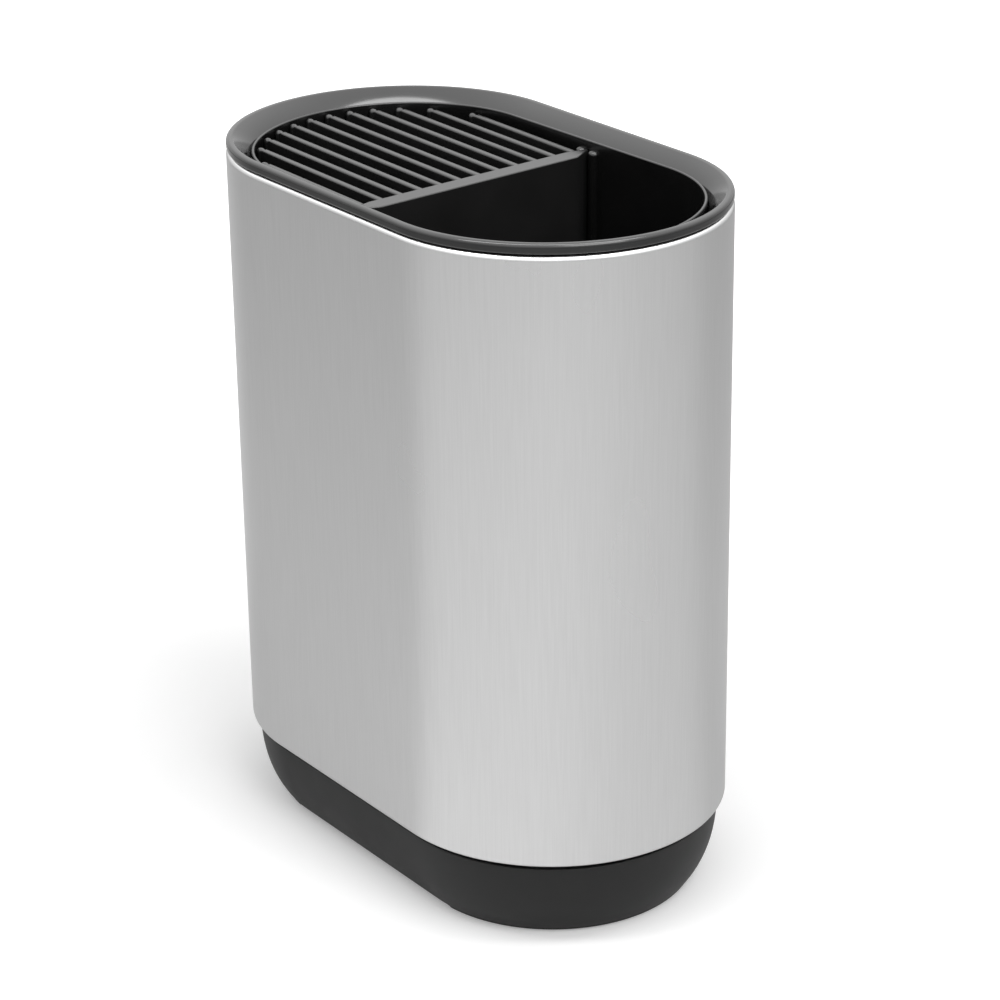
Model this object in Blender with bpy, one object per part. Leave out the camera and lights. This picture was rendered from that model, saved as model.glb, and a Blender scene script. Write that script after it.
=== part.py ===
"""Utensil and knife holder: a brushed steel sleeve between a plastic rim and a plastic base.

A removable bin stands inside the sleeve, and a knife rack of upright slats lifts out of the bin.
Metres, +Z up. The origin is on the floor, under the middle of the holder. X runs along the long
side, with the knife slats at -X and the open bin at +X, and Y runs from front to back.
"""
import math

import bmesh
import bpy

# Plan of the sleeve, which is two straight sides joined by two half circles
BODY_LENGTH = 0.1923
BODY_DEPTH = 0.114
END_STEPS = 22

# Fits
FIT_GAP = 0.0003
CUT_OVERRUN = 0.004

# Steel sleeve, with both edges turned in
SHELL_HEIGHT = 0.2022
SHELL_WALL = 0.0008
SHELL_BEND_RADIUS = 0.001
SHELL_FLANGE_WIDTH = 0.005
SHELL_BEND_STEPS = 4

# Base tub
BASE_LAND_HEIGHT = 0.029
BASE_SHOULDER_HEIGHT = 0.0273
BASE_SHOULDER_INSET = 0.0023
BASE_SHOULDER_RADIUS = 0.0005
BASE_NECK_DEPTH = 0.0014
BASE_FOOT_INSET = 0.0113
BASE_EDGE_RADIUS = 0.0006
BASE_CURVE_HEIGHT = 0.04
BASE_CURVE_POWER = 3.74
BASE_CURVE_STEPS = 9
BASE_WALL = 0.0022
BASE_FLOOR = 0.0025
BASE_INNER_SLOPE_HEIGHT = 0.003
SPIGOT_RISE = 0.009
SPIGOT_WALL = 0.0018

# Snap beads that hold the rim and the base to the sleeve's turned-in edges
BEAD_HEIGHT = 0.0005
BEAD_LEAD = 0.0008
BEAD_RUN_OUT = 0.0022

# Arch under the base, and the rubber pads under its round ends
ARCH_HALF_LENGTH = 0.0435
ARCH_RISE = 0.0012
ARCH_SLOPE = 0.0012
PAD_PROUD = 0.0006
PAD_SEAT_DEPTH = 0.001
PAD_EDGE_INSET = 0.0035
PAD_CHORD_INSET = 0.004
PAD_STEPS = 20

# Rim
RIM_OUTER_INSET = 0.0001
RIM_HEIGHT = 0.0034
RIM_CREST_RADIUS = 0.0015
RIM_MOUTH_INSET = 0.0075
RIM_MOUTH_RADIUS = 0.0008
RIM_LOWER_BEVEL = 0.0003
RIM_SKIRT_DROP = 0.006
RIM_FUNNEL_ANGLE = math.radians(43)
RIM_CREST_STEPS = 9
RIM_MOUTH_STEPS = 3

# Removable bin
LINER_SIDE_GAP = 0.0013
LINER_LIP_DROP = 0.0032
LINER_WALL = 0.0011
LINER_FLOOR = 0.0016
LINER_DRAFT = math.radians(0.6)
LINER_CORNER_RADIUS = 0.0025
LINER_CORNER_STEPS = 4
LINER_LIP_STEPS = 6

# Half-round guide ribs on the bin's long walls, in pairs, one each side of the divider's tongues
RIB_RADIUS = 0.002
RIB_EMBED = 0.0006
RIB_TOP_DROP = 0.0035
RIB_STEPS = 8
TONGUE_PLAY = 0.0003

# Divider, a hollow wall that is open at its foot
RACK_TOP_DROP = 0.003
DIVIDER_CENTRE = 0.0011
DIVIDER_THICKNESS = 0.0064
DIVIDER_SKIN = 0.0016
DIVIDER_TOP_SKIN = 0.0025
DIVIDER_END_PLAY = 0.0004
DIVIDER_LEAD_HEIGHT = 0.006
DIVIDER_LEAD_INSET = 0.0015
TONGUE_THICKNESS = 0.0015
TAPER_LENGTH = 0.006
RACK_EDGE_BEVEL = 0.0004

# Knife slats
SLAT_PITCH = 0.00767
SLAT_THICKNESS = 0.0023
SLAT_DEPTH = 0.055
SLAT_BEAD_RADIUS = 0.0013
SLAT_END_INSET = 0.0022
SLAT_WALL_GAP = 0.0025
SLAT_BEAD_STEPS = 10

# Plan sizes that follow from the sleeve
BODY_RADIUS = BODY_DEPTH / 2
HALF_STRAIGHT = (BODY_LENGTH - BODY_DEPTH) / 2

# Heights above the floor
PAD_SEAT_Z = PAD_PROUD + PAD_SEAT_DEPTH
BASE_FLOOR_Z = PAD_PROUD + ARCH_RISE + BASE_FLOOR
SHELL_BOTTOM_Z = BASE_LAND_HEIGHT + FIT_GAP
SHELL_TOP_Z = SHELL_BOTTOM_Z + SHELL_HEIGHT
RIM_SEAT_Z = SHELL_TOP_Z + FIT_GAP
RIM_TOP_Z = RIM_SEAT_Z + RIM_HEIGHT
LINER_BOTTOM_Z = BASE_FLOOR_Z + FIT_GAP
LINER_TOP_Z = RIM_TOP_Z - LINER_LIP_DROP
LINER_FLOOR_Z = LINER_BOTTOM_Z + LINER_FLOOR
RACK_TOP_Z = LINER_TOP_Z - RACK_TOP_DROP
DIVIDER_FOOT_Z = LINER_FLOOR_Z + FIT_GAP

# Radii of the concentric outlines
FLANGE_RADIUS = BODY_RADIUS - SHELL_FLANGE_WIDTH
PLUG_RADIUS = FLANGE_RADIUS - FIT_GAP
MOUTH_RADIUS = BODY_RADIUS - RIM_MOUTH_INSET
LINER_TOP_RADIUS = MOUTH_RADIUS - LINER_SIDE_GAP
SHOULDER_RADIUS = BODY_RADIUS - BASE_SHOULDER_INSET
FOOT_RADIUS = BODY_RADIUS - BASE_FOOT_INSET
LINER_INNER_CORNER = LINER_CORNER_RADIUS - LINER_WALL

# Places of the divider's faces along X, with its tongues on the middle of the holder
DIVIDER_LEFT = DIVIDER_CENTRE - DIVIDER_THICKNESS / 2
DIVIDER_RIGHT = DIVIDER_CENTRE + DIVIDER_THICKNESS / 2


def clear_scene():
    for obj in list(bpy.data.objects):
        bpy.data.objects.remove(obj, do_unlink=True)


def make_material(name, colour, roughness, metallic):
    material = bpy.data.materials.new(name)
    material.use_nodes = True
    shader = material.node_tree.nodes["Principled BSDF"]
    shader.inputs["Base Color"].default_value = (*colour, 1.0)
    shader.inputs["Roughness"].default_value = roughness
    shader.inputs["Metallic"].default_value = metallic
    return material


def add_object(name, bm, material, parent, location=(0, 0, 0)):
    """Turns a bmesh into an object with outward faces, smooth where it is round."""
    bmesh.ops.recalc_face_normals(bm, faces=bm.faces)
    mesh = bpy.data.meshes.new(name)
    bm.to_mesh(mesh)
    bm.free()
    mesh.shade_smooth()
    mesh.set_sharp_from_angle(angle=math.radians(35))
    mesh.materials.append(material)
    obj = bpy.data.objects.new(name, mesh)
    bpy.context.scene.collection.objects.link(obj)
    obj.parent = parent
    obj.location = location
    return obj


def add_pivot(name, location=(0, 0, 0)):
    """An empty on the axis along which its pieces slide."""
    pivot = bpy.data.objects.new(name, None)
    bpy.context.scene.collection.objects.link(pivot)
    pivot.location = location
    return pivot


def make_tool(obj):
    """Marks a solid that only cuts or joins another one."""
    obj.hide_render = True
    obj.display_type = "WIRE"
    return obj


def apply_tool(obj, tool, operation):
    modifier = obj.modifiers.new(tool.name, "BOOLEAN")
    modifier.operation = operation
    modifier.solver = "EXACT"
    modifier.object = tool


def arc(centre, radius, start, end, steps):
    """Points (r, z) on an arc of a profile, with the angles in degrees from +r towards +z."""
    points = []
    for step in range(steps + 1):
        angle = math.radians(start + (end - start) * step / steps)
        points.append((centre[0] + radius * math.cos(angle), centre[1] + radius * math.sin(angle)))
    return points


def plan_outline(radius):
    """The holder's outline at a distance from its spine: two half circles and two straights."""
    points = []
    for side in (1, -1):
        for step in range(END_STEPS + 1):
            angle = math.pi * (step / END_STEPS - 0.5)
            x = side * (HALF_STRAIGHT + radius * math.cos(angle))
            points.append((x, side * radius * math.sin(angle)))
    return points


def sweep_profile(profile, closed):
    """Carries a profile of (distance from the spine, height) round the holder's outline."""
    bm = bmesh.new()
    rings = []
    for radius, z in profile:
        rings.append([bm.verts.new((x, y, z)) for x, y in plan_outline(radius)])
    pairs = list(zip(rings, rings[1:]))
    if closed:
        pairs.append((rings[-1], rings[0]))
    else:
        bm.faces.new(rings[0])
        bm.faces.new(rings[-1])
    count = len(rings[0])
    for lower, upper in pairs:
        for i in range(count):
            j = (i + 1) % count
            bm.faces.new((lower[i], lower[j], upper[j], upper[i]))
    return bm


def loft_outlines(levels):
    """A solid through flat outlines of equal point counts, given as (outline, height)."""
    bm = bmesh.new()
    rings = []
    for outline, z in levels:
        rings.append([bm.verts.new((x, y, z)) for x, y in outline])
    bm.faces.new(rings[0])
    bm.faces.new(rings[-1])
    count = len(rings[0])
    for lower, upper in zip(rings, rings[1:]):
        for i in range(count):
            j = (i + 1) % count
            bm.faces.new((lower[i], lower[j], upper[j], upper[i]))
    return bm


def bevel_top(bm, z, width):
    """Breaks the edges round a solid's flat top."""
    edges = []
    for edge in bm.edges:
        if all(abs(v.co.z - z) < width / 2 for v in edge.verts):
            edges.append(edge)
    bmesh.ops.bevel(bm, geom=edges, offset=width, segments=1, affect="EDGES")


def shell_profile():
    """The sleeve's wall, with each edge bent in to a flange."""
    outer = BODY_RADIUS - SHELL_BEND_RADIUS
    low = SHELL_BOTTOM_Z + SHELL_BEND_RADIUS
    high = SHELL_TOP_Z - SHELL_BEND_RADIUS
    inner_bend = SHELL_BEND_RADIUS - SHELL_WALL
    profile = arc((outer, low), SHELL_BEND_RADIUS, -90, 0, SHELL_BEND_STEPS)
    profile += arc((outer, high), SHELL_BEND_RADIUS, 0, 90, SHELL_BEND_STEPS)
    profile.append((FLANGE_RADIUS, SHELL_TOP_Z))
    profile.append((FLANGE_RADIUS, SHELL_TOP_Z - SHELL_WALL))
    profile += arc((outer, high), inner_bend, 90, 0, 1)
    profile += arc((outer, low), inner_bend, 0, -90, 1)
    profile.append((FLANGE_RADIUS, SHELL_BOTTOM_Z + SHELL_WALL))
    profile.append((FLANGE_RADIUS, SHELL_BOTTOM_Z))
    return profile


def base_radius(z):
    """The base's outer face: nearly upright at its shoulder, and drawn in towards the floor."""
    share = max(0.0, 1 - z / BASE_CURVE_HEIGHT)
    return SHOULDER_RADIUS - (SHOULDER_RADIUS - FOOT_RADIUS) * share ** BASE_CURVE_POWER


def heights(low, high, steps):
    """Heights that crowd towards the lower end, where the base curves most."""
    return [low + (high - low) * (step / steps) ** 1.5 for step in range(steps + 1)]


def base_profile():
    edge_z = PAD_PROUD + BASE_EDGE_RADIUS
    edge_centre = (base_radius(edge_z) - BASE_EDGE_RADIUS, edge_z)
    shoulder_z = BASE_SHOULDER_HEIGHT - BASE_SHOULDER_RADIUS
    shoulder_centre = (base_radius(shoulder_z) - BASE_SHOULDER_RADIUS, shoulder_z)
    neck = base_radius(BASE_SHOULDER_HEIGHT) - BASE_NECK_DEPTH
    profile = arc(edge_centre, BASE_EDGE_RADIUS, -90, 0, 3)
    for z in heights(edge_z, shoulder_z, BASE_CURVE_STEPS)[1:-1]:
        profile.append((base_radius(z), z))
    profile += arc(shoulder_centre, BASE_SHOULDER_RADIUS, 0, 90, 3)
    profile.append((neck, BASE_SHOULDER_HEIGHT))
    profile.append((neck, BASE_LAND_HEIGHT))
    bead_z = SHELL_BOTTOM_Z + SHELL_WALL + FIT_GAP
    top_z = BASE_LAND_HEIGHT + SPIGOT_RISE
    profile.append((PLUG_RADIUS, BASE_LAND_HEIGHT))
    profile.append((PLUG_RADIUS, bead_z))
    profile.append((PLUG_RADIUS + BEAD_HEIGHT, bead_z + BEAD_LEAD))
    profile.append((PLUG_RADIUS, bead_z + BEAD_LEAD + BEAD_RUN_OUT))
    profile.append((PLUG_RADIUS, top_z))
    inner = PLUG_RADIUS - SPIGOT_WALL
    slope_z = BASE_SHOULDER_HEIGHT - BASE_INNER_SLOPE_HEIGHT
    profile.append((inner, top_z))
    profile.append((inner, BASE_SHOULDER_HEIGHT))
    for z in reversed(heights(BASE_FLOOR_Z, slope_z, BASE_CURVE_STEPS)):
        profile.append((base_radius(z) - BASE_WALL, z))
    return profile


def pad_outline(side, clearance):
    """A rubber pad's D shape: the round end of the base, cut off along a chord."""
    radius = FOOT_RADIUS - PAD_EDGE_INSET - clearance
    chord = ARCH_HALF_LENGTH + ARCH_SLOPE + PAD_CHORD_INSET + clearance - HALF_STRAIGHT
    limit = math.acos(chord / radius)
    points = []
    for step in range(PAD_STEPS + 1):
        angle = limit * (2 * step / PAD_STEPS - 1)
        x = side * (HALF_STRAIGHT + radius * math.cos(angle))
        points.append((x, side * radius * math.sin(angle)))
    return points


def build_shell(materials, parent):
    bm = sweep_profile(shell_profile(), closed=True)
    return add_object("steel_shell", bm, materials["steel"], parent)


def build_base(materials, parent):
    """The tub, arched under its straight sides and recessed for a pad at each end."""
    base = add_object("base", sweep_profile(base_profile(), closed=False), materials["base"], parent)
    reach = BODY_RADIUS + CUT_OVERRUN
    low = PAD_PROUD - ARCH_RISE
    high = PAD_PROUD + ARCH_RISE
    levels = []
    for half, z in ((ARCH_HALF_LENGTH + ARCH_SLOPE * 2, low), (ARCH_HALF_LENGTH, high)):
        levels.append(([(-half, -reach), (half, -reach), (half, reach), (-half, reach)], z))
    arch = make_tool(add_object("arch_cutter", loft_outlines(levels), materials["base"], parent))
    apply_tool(base, arch, "DIFFERENCE")
    for side, end in ((-1, "knife_end"), (1, "utensil_end")):
        outline = pad_outline(side, 0)
        levels = [(outline, -CUT_OVERRUN), (outline, PAD_SEAT_Z)]
        seat = add_object("pad_seat_" + end, loft_outlines(levels), materials["base"], parent)
        apply_tool(base, make_tool(seat), "DIFFERENCE")
    return base


def build_pads(materials, parent):
    pads = []
    for side, end in ((-1, "knife_end"), (1, "utensil_end")):
        outline = pad_outline(side, FIT_GAP)
        bm = loft_outlines([(outline, 0), (outline, PAD_SEAT_Z - FIT_GAP)])
        pads.append(add_object("foot_pad_" + end, bm, materials["rubber"], parent))
    return pads


def rim_profile():
    """Outer wall, rounded crest, a funnel down to the mouth, and a skirt in the sleeve."""
    outer = BODY_RADIUS - RIM_OUTER_INSET
    funnel = math.degrees(math.pi / 2 + RIM_FUNNEL_ANGLE)
    crest_centre = (outer - RIM_CREST_RADIUS, RIM_TOP_Z - RIM_CREST_RADIUS)
    crest = arc(crest_centre, RIM_CREST_RADIUS, 0, funnel, RIM_CREST_STEPS)
    mouth_x = MOUTH_RADIUS + RIM_MOUTH_RADIUS
    touch_x = mouth_x - RIM_MOUTH_RADIUS * math.sin(RIM_FUNNEL_ANGLE)
    touch_z = crest[-1][1] - (crest[-1][0] - touch_x) * math.tan(RIM_FUNNEL_ANGLE)
    mouth_z = touch_z - RIM_MOUTH_RADIUS * math.cos(RIM_FUNNEL_ANGLE)
    skirt_z = SHELL_TOP_Z - RIM_SKIRT_DROP
    bead_z = SHELL_TOP_Z - SHELL_WALL - FIT_GAP
    profile = [(outer - RIM_LOWER_BEVEL, RIM_SEAT_Z), (outer, RIM_SEAT_Z + RIM_LOWER_BEVEL)]
    profile += crest
    profile += arc((mouth_x, mouth_z), RIM_MOUTH_RADIUS, funnel, 180, RIM_MOUTH_STEPS)
    profile.append((MOUTH_RADIUS, skirt_z))
    profile.append((PLUG_RADIUS - BEAD_HEIGHT, skirt_z))
    profile.append((PLUG_RADIUS, bead_z - BEAD_LEAD - BEAD_RUN_OUT))
    profile.append((PLUG_RADIUS + BEAD_HEIGHT, bead_z - BEAD_LEAD))
    profile.append((PLUG_RADIUS, bead_z))
    profile.append((PLUG_RADIUS, RIM_SEAT_Z))
    return profile


def build_rim(materials, parent):
    return add_object("top_rim", sweep_profile(rim_profile(), closed=True), materials["rim"], parent)


def liner_outer_radius(z):
    """The bin narrows towards its floor, so that it lifts out freely."""
    return LINER_TOP_RADIUS - (LINER_TOP_Z - z) * math.tan(LINER_DRAFT)


def liner_inner_radius(z):
    return liner_outer_radius(z) - LINER_WALL


def liner_profile():
    corner_z = LINER_BOTTOM_Z + LINER_CORNER_RADIUS
    corner_centre = (liner_outer_radius(corner_z) - LINER_CORNER_RADIUS, corner_z)
    lip_radius = LINER_WALL / 2
    lip_z = LINER_TOP_Z - lip_radius
    lip_centre = (liner_outer_radius(lip_z) - lip_radius, lip_z)
    inner_z = LINER_FLOOR_Z + LINER_INNER_CORNER
    inner_centre = (liner_inner_radius(inner_z) - LINER_INNER_CORNER, inner_z)
    profile = arc(corner_centre, LINER_CORNER_RADIUS, -90, 0, LINER_CORNER_STEPS)
    profile += arc(lip_centre, lip_radius, 0, 180, LINER_LIP_STEPS)
    profile += arc(inner_centre, LINER_INNER_CORNER, 0, -90, LINER_CORNER_STEPS)
    return profile


def rib_outline(x, side, z):
    """A half-round rib on a long wall, with its back sunk into the wall."""
    wall = liner_inner_radius(z)
    points = [(x + RIB_RADIUS, side * (wall + RIB_EMBED)), (x - RIB_RADIUS, side * (wall + RIB_EMBED))]
    for step in range(RIB_STEPS + 1):
        angle = math.pi * (1 - step / RIB_STEPS)
        across = RIB_RADIUS * math.cos(angle)
        points.append((x + across, side * (wall - RIB_RADIUS * math.sin(angle))))
    return points


def build_liner(materials, parent):
    bm = sweep_profile(liner_profile(), closed=False)
    liner = add_object("utensil_liner", bm, materials["liner"], parent)
    low = LINER_FLOOR_Z - LINER_FLOOR / 2
    high = LINER_TOP_Z - RIB_TOP_DROP
    offset = TONGUE_THICKNESS / 2 + TONGUE_PLAY + RIB_RADIUS
    for side, wall in ((-1, "front"), (1, "back")):
        for step, face in ((-1, "knife_side"), (1, "utensil_side")):
            x = step * offset
            levels = [(rib_outline(x, side, z), z) for z in (low, high)]
            name = "guide_rib_" + wall + "_" + face
            rib = add_object(name, loft_outlines(levels), materials["liner"], parent)
            apply_tool(liner, make_tool(rib), "UNION")
    return liner


def divider_outline(z, tip_inset):
    """The divider's plan, tapered at both ends to a tongue that slides between the ribs."""
    tip = liner_inner_radius(z) - DIVIDER_END_PLAY - tip_inset
    taper = liner_inner_radius(z) - RIB_RADIUS - TAPER_LENGTH
    tongue = liner_inner_radius(z) - RIB_RADIUS - TONGUE_PLAY
    half = TONGUE_THICKNESS / 2
    front = [(DIVIDER_LEFT, -taper), (-half, -tongue), (-half, -tip)]
    front += [(half, -tip), (half, -tongue), (DIVIDER_RIGHT, -taper)]
    back = [(x, -y) for x, y in reversed(front)]
    points = front + back
    return [(x - DIVIDER_CENTRE, y) for x, y in points]


def build_divider(materials, parent):
    """The divider's tips draw in at the foot, which leads them in between the ribs."""
    lead_z = DIVIDER_FOOT_Z + DIVIDER_LEAD_HEIGHT
    levels = [(divider_outline(DIVIDER_FOOT_Z, DIVIDER_LEAD_INSET), DIVIDER_FOOT_Z)]
    levels += [(divider_outline(z, 0), z) for z in (lead_z, RACK_TOP_Z)]
    bm = loft_outlines(levels)
    bevel_top(bm, RACK_TOP_Z, RACK_EDGE_BEVEL)
    divider = add_object("rack_divider", bm, materials["rack"], parent)
    half = DIVIDER_THICKNESS / 2 - DIVIDER_SKIN
    reach = liner_inner_radius(DIVIDER_FOOT_Z) - RIB_RADIUS - TAPER_LENGTH - DIVIDER_SKIN
    outline = [(-half, -reach), (half, -reach), (half, reach), (-half, reach)]
    levels = [(outline, DIVIDER_FOOT_Z - CUT_OVERRUN), (outline, RACK_TOP_Z - DIVIDER_TOP_SKIN)]
    hollow = add_object("divider_hollow", loft_outlines(levels), materials["rack"], parent)
    apply_tool(divider, make_tool(hollow), "DIFFERENCE")
    return divider


def slat_ring_radius(z):
    """The distance from the spine of every slat's bead, which keeps to the bin's sloping wall."""
    return liner_inner_radius(z) - SLAT_END_INSET


def slat_outline(y, z):
    """A slat's plan, measured from the divider: a bar with a round bead at its far end."""
    bead_x = -(HALF_STRAIGHT + math.sqrt(slat_ring_radius(z) ** 2 - y ** 2)) - DIVIDER_CENTRE
    end_x = DIVIDER_LEFT - FIT_GAP - DIVIDER_CENTRE
    half = SLAT_THICKNESS / 2
    neck = math.asin(half / SLAT_BEAD_RADIUS)
    points = [(end_x, half)]
    for step in range(SLAT_BEAD_STEPS + 1):
        angle = neck + (2 * math.pi - 2 * neck) * step / SLAT_BEAD_STEPS
        across = SLAT_BEAD_RADIUS * math.sin(angle)
        points.append((bead_x + SLAT_BEAD_RADIUS * math.cos(angle), across))
    points.append((end_x, -half))
    return points


def build_slats(materials, parent):
    slats = []
    each_side = int((slat_ring_radius(RACK_TOP_Z) - SLAT_WALL_GAP) / SLAT_PITCH + 1 / 2)
    for index in range(2 * each_side):
        y = SLAT_PITCH * (index - each_side + 1 / 2)
        levels = [(slat_outline(y, RACK_TOP_Z + drop), drop) for drop in (-SLAT_DEPTH, 0)]
        bm = loft_outlines(levels)
        bevel_top(bm, 0, RACK_EDGE_BEVEL)
        name = "rack_slat_{:02d}".format(index + 1)
        slats.append(add_object(name, bm, materials["rack"], parent, (0, y, RACK_TOP_Z)))
    return slats


def main():
    clear_scene()
    materials = {
        "steel": make_material("steel", (0.56, 0.56, 0.56), 0.32, 1.0),
        "rim": make_material("rim_plastic", (0.02, 0.02, 0.02), 0.16, 0.0),
        "base": make_material("base_plastic", (0.035, 0.035, 0.036), 0.55, 0.0),
        "rubber": make_material("foot_rubber", (0.02, 0.02, 0.02), 0.8, 0.0),
        "liner": make_material("liner_plastic", (0.015, 0.015, 0.015), 0.35, 0.0),
        "rack": make_material("rack_plastic", (0.03, 0.03, 0.03), 0.4, 0.0),
    }
    holder = add_pivot("holder_origin")
    liner_lift = add_pivot("liner_lift")
    rack_lift = add_pivot("rack_lift", (DIVIDER_CENTRE, 0, 0))
    build_shell(materials, holder)
    build_base(materials, holder)
    build_pads(materials, holder)
    build_rim(materials, holder)
    build_liner(materials, liner_lift)
    build_divider(materials, rack_lift)
    build_slats(materials, rack_lift)


main()
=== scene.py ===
# %% [markdown]
# # A holder for knives and kitchen utensils
#
# The real thing is a tall oval canister. A brushed steel sleeve stands on a charcoal plastic base,
# a gloss black rim caps it, and a black bin with a knife rack stands inside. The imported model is
# the fixed frame: the pieces below take their places and sizes from its nodes. Only the bin and
# the rack, which stand loose in the photograph, are then set a little askew.

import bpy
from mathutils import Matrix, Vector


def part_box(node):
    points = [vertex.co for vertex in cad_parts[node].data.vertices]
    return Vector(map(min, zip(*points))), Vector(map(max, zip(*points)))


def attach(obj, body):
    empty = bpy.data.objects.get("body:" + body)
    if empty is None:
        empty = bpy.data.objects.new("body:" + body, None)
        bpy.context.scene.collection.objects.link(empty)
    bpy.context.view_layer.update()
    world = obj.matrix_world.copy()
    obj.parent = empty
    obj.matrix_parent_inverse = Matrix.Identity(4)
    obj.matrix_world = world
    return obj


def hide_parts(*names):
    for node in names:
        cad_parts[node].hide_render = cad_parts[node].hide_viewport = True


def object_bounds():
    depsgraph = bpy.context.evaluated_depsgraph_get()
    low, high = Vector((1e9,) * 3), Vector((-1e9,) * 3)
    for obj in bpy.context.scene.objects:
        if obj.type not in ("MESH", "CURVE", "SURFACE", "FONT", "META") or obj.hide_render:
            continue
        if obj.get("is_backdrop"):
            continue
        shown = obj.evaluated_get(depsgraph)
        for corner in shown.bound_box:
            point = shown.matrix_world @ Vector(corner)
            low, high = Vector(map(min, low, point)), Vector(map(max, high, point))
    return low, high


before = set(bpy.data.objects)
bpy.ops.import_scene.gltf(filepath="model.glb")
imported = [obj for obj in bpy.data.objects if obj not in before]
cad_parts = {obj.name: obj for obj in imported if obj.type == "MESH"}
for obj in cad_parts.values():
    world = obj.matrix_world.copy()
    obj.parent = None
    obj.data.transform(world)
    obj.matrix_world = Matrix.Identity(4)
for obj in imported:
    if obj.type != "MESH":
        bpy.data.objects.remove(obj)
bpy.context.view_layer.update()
print("nodes in the frame:", len(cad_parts))

# %% [markdown]
# ## Sizes
#
# A mould maker works in millimetres, so the shapes below are written in them too and turned into
# metres when a mesh is made. The outside sizes are read from the frame rather than typed again,
# which keeps a piece where its node is if the model is ever packed with other sizes.

# %% Read the main sizes in millimetres
import math

import bmesh
import bpy
from mathutils import Matrix, Vector

MM = 0.001


def box_mm(node):
    low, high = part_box(node)
    return low / MM, high / MM


sleeve_low, sleeve_high = box_mm("steel_shell")
outside = sleeve_high.y
spine = sleeve_high.x - outside
print("sleeve: %.1f mm round its spine, spine ends at %.2f mm" % (outside, spine))
print("sleeve stands from %.1f to %.1f mm" % (sleeve_low.z, sleeve_high.z))

# %% [markdown]
# ## Turning an outline into a solid
#
# Sleeve, rim, base and bin share one plan: two straight sides joined by two half circles. One way
# to make such a thing is to scale copies of an oval, but a scaled oval isn't a parallel one, and
# the walls would be thicker at the ends. Here a profile of (distance from the spine, height) is
# carried round the plan instead, as a lathe does round a circle, so every wall has an even
# thickness.

# %% The plan, and a profile with rounded corners
END_STEPS = 96


def plan(distance):
    """The closed outline at a distance from the spine, starting at the front of the right end."""
    points = []
    for side in (1, -1):
        for step in range(END_STEPS + 1):
            angle = math.pi * (step / END_STEPS - 0.5)
            x = side * (spine + distance * math.cos(angle))
            points.append((x, side * distance * math.sin(angle)))
    return points


def soften(corners, steps=6):
    """Rounds the corners of a closed profile, given as (distance, height, radius)."""
    points = []
    for i, (distance, height, radius) in enumerate(corners):
        corner = Vector((distance, height))
        if radius == 0:
            points.append(corner)
            continue
        back = (Vector(corners[i - 1][:2]) - corner).normalized()
        ahead = (Vector(corners[(i + 1) % len(corners)][:2]) - corner).normalized()
        half = back.angle(ahead) / 2
        centre = corner + (back + ahead).normalized() * (radius / math.sin(half))
        start = corner + back * (radius / math.tan(half)) - centre
        end = corner + ahead * (radius / math.tan(half)) - centre
        for step in range(steps + 1):
            points.append(centre + start.lerp(end, step / steps).normalized() * radius)
    return points


print("points round the plan:", len(plan(outside)))

# %% [markdown]
# ## From mesh to piece
#
# A shape is finished in the same three steps each time. Its faces are turned outwards, it is
# shaded smooth except over real edges, and large faces are made to rule the shading, because a
# flat wall beside a small bend otherwise looks swollen. Then it takes a finish, stands in for its
# node and rides on its body.

# %% Helpers that finish a mesh and hand it to the frame
def settle(name, shape, sharp=35):
    """Makes an object from a bmesh that is in millimetres."""
    bmesh.ops.scale(shape, vec=(MM, MM, MM), verts=shape.verts)
    bmesh.ops.recalc_face_normals(shape, faces=shape.faces)
    mesh = bpy.data.meshes.new(name)
    shape.to_mesh(mesh)
    shape.free()
    mesh.shade_smooth()
    mesh.set_sharp_from_angle(angle=math.radians(sharp))
    piece = bpy.data.objects.new(name, mesh)
    bpy.context.scene.collection.objects.link(piece)
    return piece


def even_shading(piece):
    weighted = piece.modifiers.new("large faces rule", "WEIGHTED_NORMAL")
    weighted.weight = 90
    weighted.keep_sharp = True


def fit(piece, finish, body, nodes=()):
    piece.data.materials.clear()
    piece.data.materials.append(finish)
    even_shading(piece)
    if nodes:
        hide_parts(*nodes)
    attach(piece, body)
    print("%-22s %6d faces, rides on %s" % (piece.name, len(piece.data.polygons), body))


# %% Carry a profile round the plan, and stack flat outlines
def rows_to_shape(rows, closed):
    """Joins rows of points into a skin. An open stack gets a face at each end."""
    shape = bmesh.new()
    rings = [[shape.verts.new(point) for point in row] for row in rows]
    pairs = list(zip(rings, rings[1:]))
    if closed:
        pairs.append((rings[-1], rings[0]))
    else:
        shape.faces.new(rings[0])
        shape.faces.new(rings[-1])
    for one, other in pairs:
        for i in range(len(one)):
            j = (i + 1) % len(one)
            shape.faces.new((one[i], one[j], other[j], other[i]))
    return shape


def carry(profile, closed=True):
    rows = [[(x, y, height) for x, y in plan(distance)] for distance, height in profile]
    return rows_to_shape(rows, closed)


def stack(levels):
    rows = [[(x, y, height) for x, y in outline] for outline, height in levels]
    return rows_to_shape(rows, closed=False)


# %% [markdown]
# ## Finishes
#
# Every finish starts from Blender's Principled shader. What is the same all over the piece, such
# as how metallic it is, is typed into the shader itself, and nodes are used only for what changes
# from place to place. The textures read the piece's own coordinates in metres, so a grain keeps
# its real size, and needs no unwrapping.

# %% Helpers for node materials
def blank_finish(name):
    finish = bpy.data.materials.new(name)
    finish.use_nodes = True
    return finish, finish.node_tree.nodes["Principled BSDF"]


def add_node(owner, kind, **sockets):
    """A node for a material or a world, with the values of the sockets that are named."""
    node = owner.node_tree.nodes.new(kind)
    for label, value in sockets.items():
        node.inputs[label.replace("_", " ")].default_value = value
    return node


def join(owner, source, target):
    owner.node_tree.links.new(source, target)


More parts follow.
